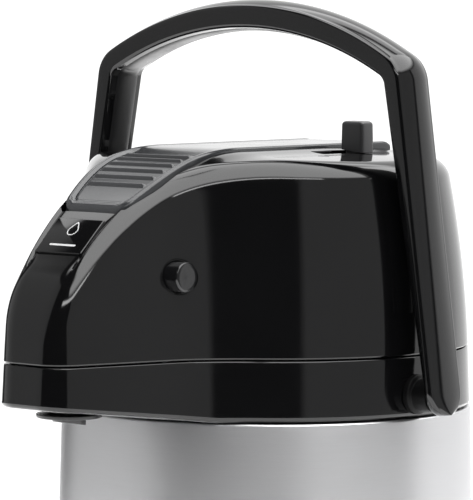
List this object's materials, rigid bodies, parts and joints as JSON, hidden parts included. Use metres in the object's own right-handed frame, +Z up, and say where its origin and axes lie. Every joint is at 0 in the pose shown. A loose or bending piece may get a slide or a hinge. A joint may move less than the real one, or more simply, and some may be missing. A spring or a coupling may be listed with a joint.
{
  "type": "thermal air pot",
  "caption": "Insulated air pot with steel shell, beaked lid with push lever, travel lock, bail handle and swivel base; pumps hot drinks out of a front spout.",
  "frame": {"origin": "centre of the underside of the base pad, on the body's axis", "axes": "+Z up along the body's axis, -Y towards the spout, +X to the right seen from the spout side"},
  "size_m": [0.1936, 0.2241, 0.344],
  "materials": {
    "gloss_black": "polished",
    "satin_black": "satin",
    "satin_grey": "satin",
    "lever_grey": "semi-gloss",
    "white_plastic": "satin",
    "brushed_steel": "fine satin",
    "bright_steel": "bright",
    "black_rubber": "matt",
    "pale_silicone": "matt"
  },
  "bodies": {
    "swivel_base": {"turntable_pad": "black_rubber", "turntable": "satin_black", "glide_ring": "white_plastic", "hub_washer": "brushed_steel", "hub_screw": "brushed_steel"},
    "flask_body": {"base_ring": "satin_black", "liner_cushion": "black_rubber", "outer_shell": "brushed_steel", "flask_outer_wall": "bright_steel", "flask_inner_bottom": "bright_steel", "flask_inner_body": "bright_steel", "flask_inner_shoulder": "bright_steel", "flask_inner_neck": "bright_steel", "neck_gasket": "pale_silicone", "collar": "gloss_black", "lid_hinge_pin": "brushed_steel", "handle_pivot_left": "satin_black", "handle_pivot_right": "satin_black", "dip_tube": "bright_steel", "tube_holder": "white_plastic", "tip_over_ball": "bright_steel", "outlet_tube": "white_plastic", "spout_elbow": "satin_black", "spout_flange": "satin_black", "spout_nozzle": "satin_black"},
    "lid": {"lid_cover": "gloss_black", "lid_frame": "white_plastic", "lever_pin": "brushed_steel", "lid_seal": "pale_silicone", "pump_housing": "white_plastic", "air_bellows": "black_rubber", "bellows_spring": "brushed_steel", "badge_plate": "gloss_black", "button_bush_left": "satin_black", "button_bush_right": "satin_black"},
    "pump_plate": {"press_plate": "white_plastic"},
    "lever": {"push_lever": "lever_grey", "lever_grip": "lever_grey"},
    "travel_lock": {"lock_slider": "satin_grey", "lock_tongue": "white_plastic"},
    "left_release": {"release_button_left": "gloss_black", "latch_arm_left": "white_plastic"},
    "right_release": {"release_button_right": "gloss_black", "latch_arm_right": "white_plastic"},
    "bail_handle": {"handle": "gloss_black", "handle_inner_cover": "satin_black"}
  },
  "joints": [
    {"name": "base_swivel", "type": "hinge", "parent": "swivel_base", "child": "flask_body", "pos_m": [0, 0, 0.0095], "axis": [0, 0, 1], "continuous": true},
    {"name": "handle_swing", "type": "hinge", "parent": "flask_body", "child": "bail_handle", "pos_m": [0, -0.0055, 0.195], "axis": [-1, 0, 0], "range_deg": [0, 95]},
    {"name": "lid_open", "type": "hinge", "parent": "flask_body", "child": "lid", "pos_m": [0, 0.0832, 0.208], "axis": [-1, 0, 0], "range_deg": [0, 18]},
    {"name": "lever_press", "type": "hinge", "parent": "lid", "child": "lever", "pos_m": [0, 0.044, 0.276], "axis": [1, 0, 0], "range_deg": [0, 11], "stiffness_Nm_per_rad": 4, "springref_deg": -6.88},
    {"name": "pump_stroke", "type": "slide", "parent": "lid", "child": "pump_plate", "axis": [0, 0, -1], "range_m": [0, 0.0101], "deforming": ["air_bellows", "bellows_spring"]},
    {"name": "lock_slide", "type": "slide", "parent": "lid", "child": "travel_lock", "axis": [0, -1, 0], "range_m": [0, 0.016]},
    {"name": "left_button", "type": "slide", "parent": "lid", "child": "left_release", "axis": [1, 0, 0], "range_m": [0, 0.002], "stiffness_N_per_m": 400, "springref_m": -0.002},
    {"name": "right_button", "type": "slide", "parent": "lid", "child": "right_release", "axis": [-1, 0, 0], "range_m": [0, 0.002], "stiffness_N_per_m": 400, "springref_m": -0.002}
  ],
  "couplings": [
    {"joint": "pump_stroke", "follows": "lever_press", "m_per_rad": 0.052}
  ]
}
